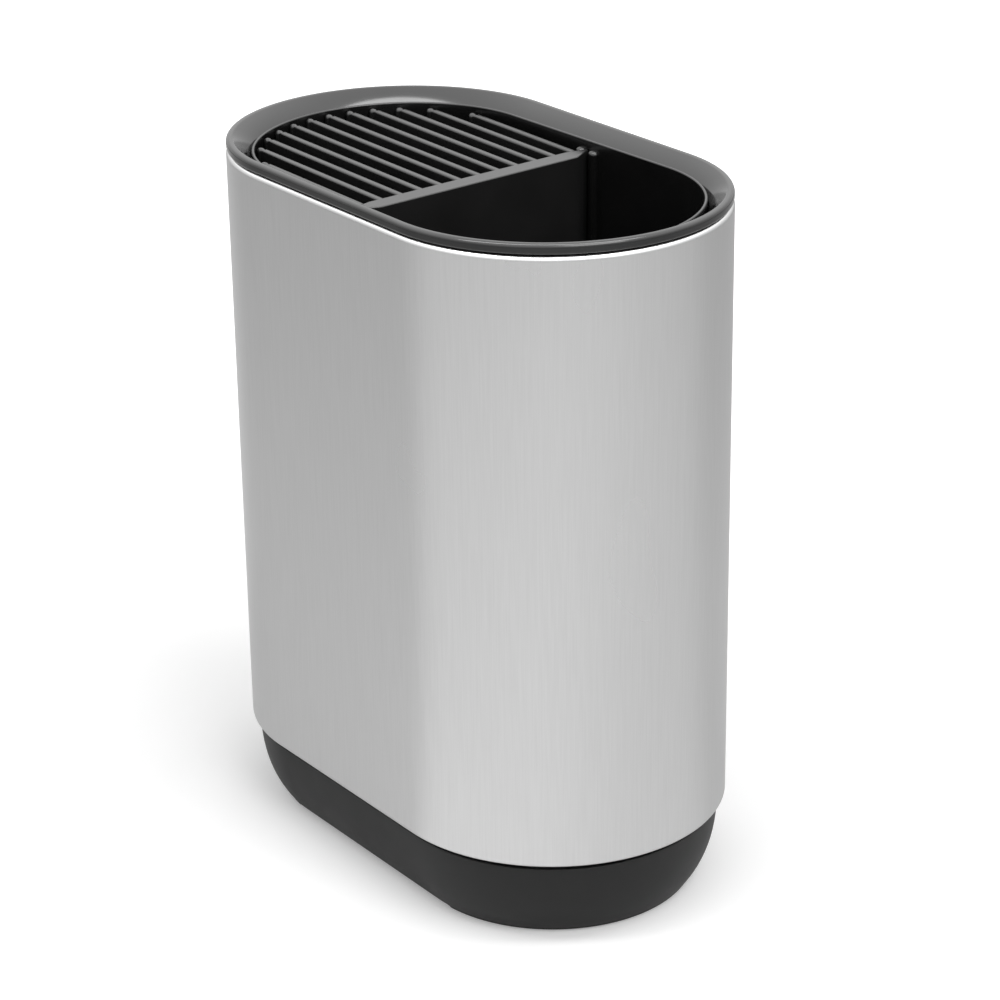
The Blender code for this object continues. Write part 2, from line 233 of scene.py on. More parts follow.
def grain_of(finish, per_metre, stretch=(1, 1, 1), detail=3.0):
    """Noise in the piece's own coordinates, stretched along any axis whose factor is small."""
    where = add_node(finish, "ShaderNodeTexCoord")
    sized = add_node(finish, "ShaderNodeMapping", Scale=stretch)
    grain = add_node(finish, "ShaderNodeTexNoise", Scale=per_metre, Detail=detail)
    join(finish, where.outputs["Object"], sized.inputs["Vector"])
    join(finish, sized.outputs["Vector"], grain.inputs["Vector"])
    return grain


def spread(finish, grain, low, high):
    """Turns noise from about 0.3 to 0.7 into a range of numbers."""
    ranged = add_node(finish, "ShaderNodeMapRange",
                      From_Min=0.3, From_Max=0.7, To_Min=low, To_Max=high)
    join(finish, grain.outputs["Fac"], ranged.inputs["Value"])
    return ranged.outputs["Result"]


def mottle(finish, shader, grain, dark, light):
    """Lets the grey wander from a dark to a light shade with the grain."""
    tone = add_node(finish, "ShaderNodeMix")
    tone.data_type = "RGBA"
    tone.inputs["A"].default_value = (dark, dark, dark, 1)
    tone.inputs["B"].default_value = (light, light, light, 1)
    join(finish, spread(finish, grain, 0.0, 1.0), tone.inputs["Factor"])
    join(finish, tone.outputs["Result"], shader.inputs["Base Color"])


def emboss(finish, shader, grain, depth_mm):
    bump = add_node(finish, "ShaderNodeBump", Strength=1.0, Distance=depth_mm * MM)
    join(finish, grain.outputs["Fac"], bump.inputs["Height"])
    join(finish, bump.outputs["Normal"], shader.inputs["Normal"])


def maths(owner, operation, *terms, kind="ShaderNodeMath", result="Value"):
    """The result of one operation. Each term is a socket to link or a value to type in."""
    node = add_node(owner, kind)
    node.operation = operation
    for socket, term in zip(node.inputs, terms):
        if isinstance(term, bpy.types.NodeSocket):
            join(owner, term, socket)
        else:
            socket.default_value = term
    return node.outputs[result]


def vector_maths(owner, operation, *terms, result="Vector"):
    return maths(owner, operation, *terms, kind="ShaderNodeVectorMath", result=result)


# %% [markdown]
# ### Brushed steel
#
# The sleeve is rolled from a sheet that was brushed from top to bottom. Each brush line is a
# scratch far thinner than a pixel, which does two things: faint upright streaks, and reflections
# that spread sideways. The streaks are noise that is stretched fifty times along the height,
# and the spread is the shader's own anisotropy, whose tangent already lies level round the piece.

# %% Steel
def brushed_steel():
    finish, shader = blank_finish("brushed_steel")
    shader.inputs["Metallic"].default_value = 1.0
    shader.inputs["Anisotropic"].default_value = 0.3
    streaks = grain_of(finish, per_metre=2400, stretch=(1, 1, 0.02), detail=4.0)
    clouds = grain_of(finish, per_metre=26, stretch=(1, 1, 0.4), detail=2.0)
    mottle(finish, shader, streaks, dark=0.565, light=0.595)
    join(finish, spread(finish, clouds, 0.27, 0.31), shader.inputs["Roughness"])
    emboss(finish, shader, streaks, depth_mm=0.001)
    return finish


steel = brushed_steel()
print("finish:", steel.name)

# %% [markdown]
# ### Plastics and rubber
#
# Four mouldings and a pair of pads are all nearly black, and only their gloss tells them apart.
# The rim is polished and mirrors the room, the bin is a little duller, the rack is satin, and the
# base has the fine pitted grain of a spark-eroded mould. One helper makes all of them from a shade,
# a range of roughness, and a grain with a depth.

# %% Plastics and rubber
def moulded(name, shade, rough, per_metre, depth_mm, detail=3.0, shine=0.5):
    """A moulded finish. Its tone varies by a tenth, as slow clouds, over the piece."""
    finish, shader = blank_finish(name)
    clouds = grain_of(finish, per_metre=45)
    mottle(finish, shader, clouds, dark=shade * 0.9, light=shade * 1.1)
    join(finish, spread(finish, clouds, *rough), shader.inputs["Roughness"])
    emboss(finish, shader, grain_of(finish, per_metre, detail=detail), depth_mm)
    shader.inputs["Specular IOR Level"].default_value = shine
    return finish


gloss_black = moulded("rim_plastic", 0.010, (0.10, 0.14), per_metre=90, depth_mm=0.010, detail=1.0)
bin_black = moulded("liner_plastic", 0.006, (0.22, 0.28), per_metre=140, depth_mm=0.008, detail=1.0)
satin_black = moulded("rack_plastic", 0.012, (0.30, 0.36), per_metre=900, depth_mm=0.006)
charcoal = moulded("base_plastic", 0.014, (0.46, 0.54), per_metre=2600, depth_mm=0.030,
                   detail=2.0, shine=0.26)
rubber = moulded("foot_rubber", 0.020, (0.75, 0.85), per_metre=1800, depth_mm=0.030)
mouldings = (gloss_black, bin_black, satin_black, charcoal, rubber)
print("finishes:", ", ".join(finish.name for finish in mouldings))

# %% [markdown]
# ## Steel sleeve
#
# The sleeve is one strip of 0.8 mm sheet, rolled to the oval and joined up the middle of the back.
# Both edges are bent inwards, so that no cut edge shows, and the upper bend, which is the rounder,
# draws the bright line along the top. A plain tube would lose that line. The profile below goes
# round the section of the sheet once, out along one flange, up the wall and back.

# %% Sleeve
SHEET = 0.8
FLANGE = 5.0
LOWER_BEND, UPPER_BEND, CUT_EDGE = 1.0, 1.8, 0.2
flange_at = outside - FLANGE
sleeve_section = soften([
    (flange_at, sleeve_low.z, CUT_EDGE),
    (outside, sleeve_low.z, LOWER_BEND),
    (outside, sleeve_high.z, UPPER_BEND),
    (flange_at, sleeve_high.z, CUT_EDGE),
    (flange_at, sleeve_high.z - SHEET, CUT_EDGE),
    (outside - SHEET, sleeve_high.z - SHEET, CUT_EDGE),
    (outside - SHEET, sleeve_low.z + SHEET, CUT_EDGE),
    (flange_at, sleeve_low.z + SHEET, CUT_EDGE),
])
sleeve = settle("steel_sleeve", carry(sleeve_section))
fit(sleeve, steel, "holder", ["steel_shell"])

# %% [markdown]
# The joint is a laser weld, ground flush and brushed over, and only a hairline of it is left. It
# could be painted on the steel, but a shape holds under side light and in other views too, so a
# shallow strip stands on the sheet. The photograph doesn't show the back, so this is a guess.

# %% Weld line up the back
WELD_HALF_WIDTH, WELD_STAND, WELD_ROOT, WELD_END_GAP = 0.45, 0.03, 0.1, 1.2


def weld_strip(low, high):
    """A thin strip on the middle of the back wall, standing out from it a little."""
    edge, top = WELD_HALF_WIDTH, WELD_HALF_WIDTH * 0.4
    root, face = outside - WELD_ROOT, outside + WELD_STAND
    outline = [(-edge, root), (-top, face), (top, face), (edge, root)]
    return stack([(outline, low), (outline, high)])


weld = settle("sleeve_weld", weld_strip(sleeve_low.z + WELD_END_GAP, sleeve_high.z - WELD_END_GAP))
fit(weld, steel, "holder")

# %% [markdown]
# ## Rim
#
# The rim is a deep moulding that snaps into the sleeve's top. From outside to inside it has a
# short upright wall, a rounded crest, and a funnel that gets steeper as it leads the tools down to
# the mouth. Gloss black shows only what it mirrors, so this slight curve is what shades the funnel
# from crest to mouth. The skirt with its snap bead is hidden, but shows when the bin is lifted out.

# %% Funnel of the rim
rim_low, rim_high = box_mm("top_rim")
rim_outside = rim_high.y
JOINT_GAP = 0.3
MOUTH_INSET = 8.0
CREST = 1.5
BEAD = 0.5
FUNNEL_STEPS = 12
TOP_SLOPE, MOUTH_SLOPE = math.radians(37), math.radians(51)
seat = sleeve_high.z + JOINT_GAP
mouth = outside - MOUTH_INSET
plug = flange_at - JOINT_GAP
slope_start = rim_outside - CREST - CREST * math.tan(TOP_SLOPE / 2)
funnel = []
mouth_height = rim_high.z
for step in range(FUNNEL_STEPS):
    slope = TOP_SLOPE + (MOUTH_SLOPE - TOP_SLOPE) * step / (FUNNEL_STEPS - 1)
    distance = slope_start + (mouth - slope_start) * (step + 1) / FUNNEL_STEPS
    mouth_height -= (slope_start - mouth) / FUNNEL_STEPS * math.tan(slope)
    funnel.append((distance, mouth_height, 0))

# %% Rim section, from the joint over the crest and down the funnel to the skirt's snap bead
rim_section = soften([
    (plug, seat, 0),
    (rim_outside, seat, 0.8),
    (rim_outside, rim_high.z, CREST),
    (slope_start, rim_high.z, CREST),
    *funnel[:-1],
    (mouth, mouth_height, 0.5),
    (mouth, rim_low.z, 0.3),
    (plug - BEAD, rim_low.z, 0.2),
    (plug, seat - 4.4, 0),
    (plug + BEAD, seat - 2.2, 0.3),
    (plug, seat - 1.4, 0),
], steps=8)
rim = settle("rim", carry(rim_section), sharp=28)
fit(rim, gloss_black, "holder", ["top_rim"])
print("rim: mouth %.1f mm round the spine, at a height of %.1f mm" % (mouth, mouth_height))

# %% [markdown]
# ## Base
#
# The base is a tub. Its side is nearly upright under the shoulder and turns in faster and faster
# towards the floor, which is one smooth power curve rather than an arc. Above the shoulder it
# steps back to a neck, so that a dark gap shows under the steel, and a spigot goes up inside the
# sleeve.

# %% Base section
base_low, base_high = box_mm("base")
FLOOR_OF_TUB, ROOF_OF_TUB, TUB_WALL = 4.3, 24.3, 2.2
SHOULDER, SHOULDER_INSET, SHOULDER_ROUND = 27.3, 2.3, 0.5
DRAWN_IN, DRAWN_FROM, CURVE_POWER = 9.0, 40.0, 3.74
FOOT_ROUND = 0.6
NECK_STEP = 1.4
SPIGOT_WALL, SPIGOT_LEAD = 1.8, 0.5
BEAD_START, BEAD_PEAK, BEAD_END = 30.4, 31.2, 33.4
CLOSER_BELOW = 1.4


def side_of_base(height):
    share = max(0.0, 1 - height / DRAWN_FROM)
    return outside - SHOULDER_INSET - DRAWN_IN * share ** CURVE_POWER


def heights_between(low, high, steps):
    """Heights that lie closer together low down, where the side curves more."""
    return [low + (high - low) * (i / steps) ** CLOSER_BELOW for i in range(steps + 1)]


def base_section():
    """The outside from the foot up, then the neck, the spigot and the inside down to the floor."""
    foot, side_top = base_low.z + FOOT_ROUND, SHOULDER - SHOULDER_ROUND
    edge = side_of_base(foot) - FOOT_ROUND
    points = [(edge + FOOT_ROUND * math.sin(a), foot - FOOT_ROUND * math.cos(a))
              for a in (0, 0.35, 0.7, 1.05, 1.4)]
    points += [(side_of_base(z), z) for z in heights_between(foot, side_top, 24)]
    top = side_of_base(side_top) - SHOULDER_ROUND
    points += [(top + SHOULDER_ROUND * math.cos(a), side_top + SHOULDER_ROUND * math.sin(a))
               for a in (0.4, 0.8, 1.2, 1.57)]
    neck, neck_top = side_of_base(SHOULDER) - NECK_STEP, sleeve_low.z - JOINT_GAP
    points += [(neck, SHOULDER), (neck, neck_top), (plug, neck_top)]
    points += [(plug, BEAD_START), (plug + BEAD, BEAD_PEAK), (plug, BEAD_END)]
    points += [(plug, base_high.z - SPIGOT_LEAD), (plug - SPIGOT_LEAD, base_high.z)]
    points += [(plug - SPIGOT_WALL, base_high.z), (plug - SPIGOT_WALL, SHOULDER)]
    inside = heights_between(FLOOR_OF_TUB, ROOF_OF_TUB, 12)
    points += [(side_of_base(z) - TUB_WALL, z) for z in reversed(inside)]
    return points


tub = settle("base_tub", carry(base_section(), closed=False))
foot_out, shoulder_out = side_of_base(base_low.z), side_of_base(SHOULDER)
print("base: foot %.1f mm and shoulder %.1f mm round the spine" % (foot_out, shoulder_out))

# %% [markdown]
# Under the straight sides the foot arches clear of the worktop, so the holder stands on its two
# round ends alone and doesn't rock. The arch and the two seats for the rubber pads are cut out of
# the tub, as a mill would cut them, with Blender's exact boolean. The cutters are thrown away.

# %% Cut the arch and the pad seats
ARCH = ((45.9, -1.2), (43.8, 0.9), (43.2, 1.2))  # half length, and height over the foot
ARCH_REACH = 70
PAD_INSET, PAD_CHORD, PAD_GAP = 3.8, 48.7, 0.3
PAD_SEAT_DEPTH, CUT_BELOW = 1.0, -3


def pad_plan(side, inset):
    """The D of a pad's seat, or of the pad itself with the gap as its inset."""
    radius = side_of_base(0) - PAD_INSET - inset + PAD_GAP
    chord = PAD_CHORD + inset - spine
    limit = math.acos(chord / radius)
    points = []
    for step in range(49):
        angle = limit * (step / 24 - 1)
        points.append((side * (spine + radius * math.cos(angle)), side * radius * math.sin(angle)))
    return points


def cut_away(piece, shape):
    cutter = settle("cutter", shape)
    cut = piece.modifiers.new("cut", "BOOLEAN")
    cut.operation = "DIFFERENCE"
    cut.solver = "EXACT"
    cut.object = cutter
    bpy.context.view_layer.update()
    seen = piece.evaluated_get(bpy.context.evaluated_depsgraph_get())
    piece.data = bpy.data.meshes.new_from_object(seen)
    piece.modifiers.clear()
    bpy.data.objects.remove(cutter)


def oblong(half_x, half_y):
    return [(-half_x, -half_y), (half_x, -half_y), (half_x, half_y), (-half_x, half_y)]


cut_away(tub, stack([(oblong(half, ARCH_REACH), base_low.z + rise) for half, rise in ARCH]))
for side in (-1, 1):
    seat_plan = pad_plan(side, 0)
    cut_away(tub, stack([(seat_plan, CUT_BELOW), (seat_plan, base_low.z + PAD_SEAT_DEPTH)]))
tub.data.shade_smooth()
tub.data.set_sharp_from_angle(angle=math.radians(30))
fit(tub, charcoal, "holder", ["base"])

# %% [markdown]
# ## Rubber pads
#
# Each pad is a D of rubber, glued in its seat and standing 0.6 mm proud. Real ones have ridges on
# their sole, because a few narrow ridges grip a wet worktop better than a flat sole does. The
# ridges are separate bars in the same mesh, each cut to the length of the D where it lies.

# %% Pads with ridged soles
SOLE, PAD_TOP = 0.35, 1.3
RIDGE_START, RIDGE_PITCH, RIDGE_WIDTH, RIDGE_TOP = 49.6, 2.3, 1.3, 0.5
RIDGE_TAPER, RIDGE_END_TAPER = 0.22, 0.3
RIDGE_MARGIN, SHORTEST_RIDGE = 0.6, 3


def add_ridge(shape, x0, x1, half_length):
    """A bar from the worktop into the sole, narrower where it touches the worktop."""
    taper = (x1 - x0) * RIDGE_TAPER
    short = half_length - RIDGE_END_TAPER
    foot = [(x0 + taper, -short), (x1 - taper, -short), (x1 - taper, short), (x0 + taper, short)]
    head = [(x0, -half_length), (x1, -half_length), (x1, half_length), (x0, half_length)]
    rows = [[shape.verts.new((x, y, height)) for x, y in ring]
            for ring, height in ((foot, 0.0), (head, RIDGE_TOP))]
    shape.faces.new(rows[0])
    shape.faces.new(rows[1])
    for i in range(4):
        j = (i + 1) % 4
        shape.faces.new((rows[0][i], rows[0][j], rows[1][j], rows[1][i]))


def ridged_pad(side):
    outline = pad_plan(side, PAD_GAP)
    shape = stack([(outline, SOLE), (outline, PAD_TOP)])
    radius = side_of_base(0) - PAD_INSET
    for step in range(14):
        x = RIDGE_START + step * RIDGE_PITCH
        chord = math.sqrt(max(radius ** 2 - (x + RIDGE_WIDTH - spine) ** 2, 0))
        half_length = chord - RIDGE_MARGIN
        ends = sorted((side * x, side * (x + RIDGE_WIDTH)))
        if half_length > SHORTEST_RIDGE:
            add_ridge(shape, *ends, half_length)
    return shape


for side, end in ((-1, "knife_end"), (1, "utensil_end")):
    pad = settle("foot_pad_" + end + "_ridged", ridged_pad(side), sharp=30)
    fit(pad, rubber, "holder", ["foot_pad_" + end])

# %% [markdown]
# ## Bin
#
# The bin lifts out for washing. It is a thin-walled moulding with draft, so it is 0.6 degrees
# narrower towards its floor, and its lip is a full round that catches the light as a fine line.
# The gap between the lip and the rim's mouth shows as a black crescent at each end. The real bin
# stands loose and a degree askew, so its mesh, with the ribs and the rack, is turned as much, and
# its lip is a little lower on the near side, where the photograph shows none of it.

# %% Bin wall and floor
TURN = math.radians(1.2)
TURN_ROOM = 0.15
BIN_WALL, BIN_FLOOR = 1.0, 1.6
OUTER_CORNER, INNER_CORNER = 2.5, 1.2
LIP_DROP, LIP_SLOPE, LEVEL_FROM = -0.7, 0.0155, 45.0
bin_low, bin_high = box_mm("utensil_liner")
bin_outside = bin_high.y - TURN_ROOM
draft = math.tan(math.radians(0.6))


def turned(piece):
    piece.data.transform(Matrix.Rotation(TURN, 4, "Z"))
    return piece


def bin_at(height):
    return bin_outside - (bin_high.z - height) * draft


def bin_section():
    """The outer corner at the floor, the round of the lip, and the inner corner."""
    low = bin_low.z + OUTER_CORNER
    centre = bin_at(low) - OUTER_CORNER
    points = [(centre + OUTER_CORNER * math.sin(a), low - OUTER_CORNER * math.cos(a))
              for a in (0, 0.26, 0.52, 0.79, 1.05, 1.31, 1.57)]
    lip = BIN_WALL / 2
    points += [(bin_outside - lip + lip * math.cos(a), bin_high.z - lip + lip * math.sin(a))
               for a in [math.pi * i / 10 for i in range(11)]]
    low = bin_low.z + BIN_FLOOR + INNER_CORNER
    centre = bin_at(low) - BIN_WALL - INNER_CORNER
    points += [(centre + INNER_CORNER * math.cos(a), low - INNER_CORNER * math.sin(a))
               for a in (0, 0.4, 0.8, 1.2, 1.57)]
    return points


def sag(shape):
    """The loose bin stands a little low on its near side, where the rim hides the lip."""
    for vert in shape.verts:
        share = (vert.co.z - bin_low.z) / (bin_high.z - bin_low.z)
        vert.co.z += share * (LIP_DROP + LIP_SLOPE * min(vert.co.y, LEVEL_FROM))
    return shape


bin_wall = settle("bin", sag(carry(bin_section(), closed=False)))
fit(turned(bin_wall), bin_black, "utensil_bin", ["utensil_liner"])
print("bin: %.1f mm deep inside" % (bin_high.z - bin_low.z - BIN_FLOOR))

# %% [markdown]
# Two half-round ribs on each long wall hold the divider's tongue between them. Their tops stop a
# little under the lip, and one of them shows in the open half as a small bright half disc. A rib
# is stacked from half circles that follow the wall's draft, and its top edge is rounded by the
# same half circle, shrinking as a quarter round does.

# %% Guide ribs
rack_low, rack_high = box_mm("rack_divider")
RIB, RIB_ROUND, RIB_ROOT = 2.0, 1.5, 0.4
RIB_TOP, RIB_FOOT = bin_high.z - 2.8, bin_low.z + 1.0
TONGUE_HALF = 0.75


def half_round(x, side, height, radius):
    wall = bin_at(height) - BIN_WALL
    points = [(x + radius, side * (wall + RIB_ROOT)), (x - radius, side * (wall + RIB_ROOT))]
    for step in range(17):
        angle = math.pi * (1 - step / 16)
        points.append((x + radius * math.cos(angle), side * (wall - radius * math.sin(angle))))
    return points


def guide_rib(x, side):
    levels = [(half_round(x, side, z, RIB), z) for z in (RIB_FOOT, RIB_TOP - RIB_ROUND)]
    for step in range(1, 8):
        angle = math.pi / 2 * step / 7
        z = RIB_TOP - RIB_ROUND + RIB_ROUND * math.sin(angle)
        radius = RIB - RIB_ROUND + RIB_ROUND * math.cos(angle)
        levels.append((half_round(x, side, z, radius), z))
    return stack(levels)


for side, wall in ((-1, "front"), (1, "back")):
    for step, face in ((-1, "knife"), (1, "utensil")):
        name = "bin_rib_" + wall + "_" + face + "_side"
        rib = settle(name, sag(guide_rib(step * (TONGUE_HALF + JOINT_GAP + RIB), side)))
        fit(turned(rib), bin_black, "utensil_bin")

# %% [markdown]
# ## Knife rack
#
# The rack is one moulding: a hollow divider that crosses the bin, and twelve slats that stand out
# from it towards the round end. The divider thins to a tongue at each end, which slides between
# the ribs, and its cavity opens at the foot, which keeps the moulding's walls even. The rack
# stands loose in the bin, and the photograph shows it leaning by about a degree.

# %% Divider
divider_left, divider_right = rack_low.x, rack_high.x
RACK_FOOT, RACK_TOP = rack_low.z, rack_high.z
SKIN, CAVITY_ROOF = 1.6, 2.5
TIP_HALF, TIP_GAP, TAPER = 0.5, 0.4, 6.0
LEAD_IN = 1.2
TOP_ROUND, EDGE_ANGLE = 0.45, 0.45  # millimetres, and radians
TOP_DROP, LEAN_X, LEAN_Y = -0.45, -0.0206, 0.0098


def divider_plan(height, tip_inset):
    """Straight faces that taper at each end to the tip of a tongue."""
    wall = bin_at(height) - BIN_WALL
    tip = wall - TIP_GAP - tip_inset
    bend = wall - RIB - TAPER
    middle = (bend + tip) / 2
    half_left, half_right = divider_left / 2 - TIP_HALF / 2, divider_right / 2 + TIP_HALF / 2
    front = [(divider_left, -bend), (half_left, -middle), (-TIP_HALF, -tip),
             (TIP_HALF, -tip), (half_right, -middle), (divider_right, -bend)]
    return front + [(x, -y) for x, y in reversed(front)]


def cavity_plan():
    reach = bin_at(RACK_FOOT) - BIN_WALL - RIB - TAPER - SKIN
    width = divider_right - divider_left - 2 * SKIN
    row = [divider_left + SKIN + i / 5 * width for i in range(6)]
    return [(x, -reach) for x in row] + [(x, reach) for x in reversed(row)]


def round_top_edges(shape):
    edges = [edge for edge in shape.edges
             if len(edge.link_faces) == 2 and edge.calc_face_angle() > EDGE_ANGLE
             and all(abs(vert.co.z - RACK_TOP) < 0.01 for vert in edge.verts)]
    bmesh.ops.bevel(shape, geom=edges, offset=TOP_ROUND, segments=4, profile=0.5, affect="EDGES")


def tilt(shape):
    """The rack stands loose, so its top leans: the round end is high and the near side low."""
    for vert in shape.verts:
        share = (vert.co.z - RACK_FOOT) / (RACK_TOP - RACK_FOOT)
        vert.co.z += share * (TOP_DROP + LEAN_X * vert.co.x + LEAN_Y * vert.co.y)


levels = [(cavity_plan(), RACK_TOP - CAVITY_ROOF), (cavity_plan(), RACK_FOOT)]
levels.append((divider_plan(RACK_FOOT, LEAD_IN), RACK_FOOT))
levels += [(divider_plan(z, 0), z) for z in (RACK_FOOT + LEAD_IN, RACK_TOP)]
shape = stack(levels)
shape.normal_update()
round_top_edges(shape)
tilt(shape)
divider = settle("divider", shape, sharp=30)
fit(turned(divider), satin_black, "knife_rack", ["rack_divider"])

# %% [markdown]
# A slat is drawn as cross-sections along its length. Each section is an upright bar with a rounded
# top, and its half width changes along the way: a round nub at the far end, a slight waist behind
# it, and then the even bar that runs into the divider. Twelve slats come from the same function,
# and only the place of the nub differs, because the nubs stand on an oval parallel to the wall.
# The wall has draft, so a slat's far end leans in towards its foot by the same angle.

# %% Slats
NUB = 1.4
NUB_TOP, NUB_DOME = -0.5, 0.55
BAR = (1.15, 0.0, 0.75)  # half width, height against the top, and rounding
WAIST = ((1.3, 0.95, -0.25, 0.7), (1.8, 0.98, -0.18, 0.7), (2.4, 1.12, 0.0, 0.72), (6.0, *BAR))
SLAT_CHAMFER = 0.3
NUB_INSET, INTO_DIVIDER, SLAT_DROP = 0.75, 0.6, 0.05


def slat_section(half_width, top, depth, rounding):
    """Points of one upright section as (y, z), from the foot up one side and down the other."""
    radius = min(rounding, half_width * 0.98)
    right = [(half_width - SLAT_CHAMFER, -depth), (half_width, -depth + SLAT_CHAMFER)]
    for step in range(7):
        angle = math.pi / 2 * step / 6
        y, z = half_width - radius, top - radius
        right.append((y + radius * math.cos(angle), z + radius * math.sin(angle)))
    return right + [(-y, z) for y, z in reversed(right)]


def slat_shape(nub_x, end_x, depth):
    """Sections from the nub at the far end to the divider."""
    sections = []
    for step in range(14):
        angle = math.radians(4 + 130 * step / 13)
        half_width, top = NUB * math.sin(angle), NUB_TOP + NUB_DOME * math.sin(angle)
        sections.append((nub_x - NUB * math.cos(angle), half_width, top, half_width))
    sections += [(nub_x + along, *rest) for along, *rest in WAIST]
    sections.append((end_x, *BAR))
    rows = [[(x, y, z) for y, z in slat_section(w, top, depth, r)] for x, w, top, r in sections]
    return rows_to_shape(rows, closed=False)


def lean_in(shape, y, nub_x, end_x):
    """Moves the far end in with the wall's draft, and the end at the divider not at all."""
    reach = nub_x + spine
    ring = math.hypot(reach, y)
    for vert in shape.verts:
        lower_ring = ring + vert.co.z * draft
        moved = -reach - math.sqrt(lower_ring ** 2 - y ** 2)
        vert.co.x += moved * (end_x - vert.co.x) / (end_x - nub_x)


slat_names = sorted(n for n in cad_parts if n.startswith("rack_slat_"))
for node in slat_names:
    low, high = box_mm(node)
    middle = (low.y + high.y) / 2
    nub_x, end_x = low.x + NUB_INSET, divider_left + INTO_DIVIDER
    shape = slat_shape(nub_x, end_x, high.z - low.z)
    lean_in(shape, middle, nub_x, end_x)
    bmesh.ops.translate(shape, verts=shape.verts, vec=(0, middle, high.z - SLAT_DROP))
    tilt(shape)
    slat = settle(node.replace("rack_", "") + "_rounded", shape, sharp=40)
    fit(turned(slat), satin_black, "knife_rack", [node])
print("slats:", len(slat_names))

# %% [markdown]
# ## Worktop and light
#
# The holder stands on a flat white floor. The floor is lit like everything else, so the soft
# shadow under the base is a real one. A glow that only the camera and the reflections see makes
# the floor white away from the base, without more light falling on the holder. Upright steel that
# is looked down on mirrors the floor, so the sleeve's tones from side to side are a painted shade:
# the floor is darkened by heading for reflections alone.

# %% Floor
def seen_only(owner):
    """1 for rays from the camera and for rays that come off or through a shiny surface."""
    path = add_node(owner, "ShaderNodeLightPath")
    total = path.outputs["Is Camera Ray"]
    for label in ("Is Glossy Ray", "Is Transmission Ray"):
        total = maths(owner, "MAXIMUM", total, path.outputs[label])
    return total


FLOOR_HALF = 6000
shape = bmesh.new()
corners = oblong(FLOOR_HALF, FLOOR_HALF)
shape.faces.new([shape.verts.new((x, y, 0)) for x, y in corners])
floor = settle("floor", shape)
floor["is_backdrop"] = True
sweep_paint, shader = blank_finish("white_sweep")
shader.inputs["Roughness"].default_value = 0.9
shader.inputs["Specular IOR Level"].default_value = 0.1
shader.inputs["Emission Color"].default_value = (1, 1, 1, 1)
floor.data.materials.append(sweep_paint)

# %% [markdown]
# Each falloff below paints shade on the floor towards one heading, as measured from a point under
# the open end. Only reflections see this painted shade, so it shades the steel sleeve. A falloff
# has that heading, the two cosines between which the tone falls, and the tone that it falls to.
# Where falloffs overlap they multiply.

# %% Painted shade on the floor by heading, for reflections alone
# Painted shade: each row darkens the floor where the steel mirrors it, which shades the sleeve.
PAINTED_SHADE_FALLOFFS = (
    ((-0.883, -0.469, 0), 0.80, 0.98, 0.77),
    ((0.259, 0.966, 0), -0.6, 1.0, 0.84),
    ((-0.17, 0.985, 0), 0.70, 0.95, 0.84),
)
HUB = (0.05, -0.03, 0)
PAPER = 0.8

where = add_node(sweep_paint, "ShaderNodeTexCoord")
from_foot = vector_maths(sweep_paint, "SUBTRACT", where.outputs["Object"], HUB)
heading = vector_maths(sweep_paint, "NORMALIZE", from_foot)
painted_shade = 1.0
for facing, start, end, dimmed in PAINTED_SHADE_FALLOFFS:
    cosine = vector_maths(sweep_paint, "DOT_PRODUCT", heading, facing, result="Value")
    falloff = add_node(sweep_paint, "ShaderNodeMapRange",
                       From_Min=start, From_Max=end, To_Min=1.0, To_Max=dimmed)
    falloff.interpolation_type = "SMOOTHSTEP"
    join(sweep_paint, cosine, falloff.inputs["Value"])
    painted_shade = maths(sweep_paint, "MULTIPLY", painted_shade, falloff.outputs["Result"])
# For glossy rays alone the floor's colour and glow take the painted shade; other rays see it plain.
path = add_node(sweep_paint, "ShaderNodeLightPath")
tone = add_node(sweep_paint, "ShaderNodeMix", A=1.0)
join(sweep_paint, path.outputs["Is Glossy Ray"], tone.inputs["Factor"])
join(sweep_paint, painted_shade, tone.inputs["B"])
paper = maths(sweep_paint, "MULTIPLY", tone.outputs["Result"], PAPER)
join(sweep_paint, paper, shader.inputs["Base Color"])
print("falloffs:", len(PAINTED_SHADE_FALLOFFS))

# %% Glow of the floor, which grows with the distance from the base
GLOW = 0.22

glow = maths(sweep_paint, "MULTIPLY", seen_only(sweep_paint), tone.outputs["Result"])
dim_glow = maths(sweep_paint, "MULTIPLY", glow, GLOW)
away = vector_maths(sweep_paint, "LENGTH", from_foot, result="Value")
further = add_node(sweep_paint, "ShaderNodeMapRange",
                   From_Min=0.15, From_Max=0.6, To_Min=0.08, To_Max=0.78)
join(sweep_paint, away, further.inputs["Value"])
far_glow = maths(sweep_paint, "MULTIPLY_ADD",
                 further.outputs["Result"], path.outputs["Is Camera Ray"], dim_glow)
join(sweep_paint, far_glow, shader.inputs["Emission Strength"])
print("floor nodes:", len(sweep_paint.node_tree.nodes))

# %% [markdown]
# The room above is one smooth gradient, brighter overhead, which gloss black mirrors without an
# edge. It is turned down where it lights a matt surface, and the camera sees plain white.

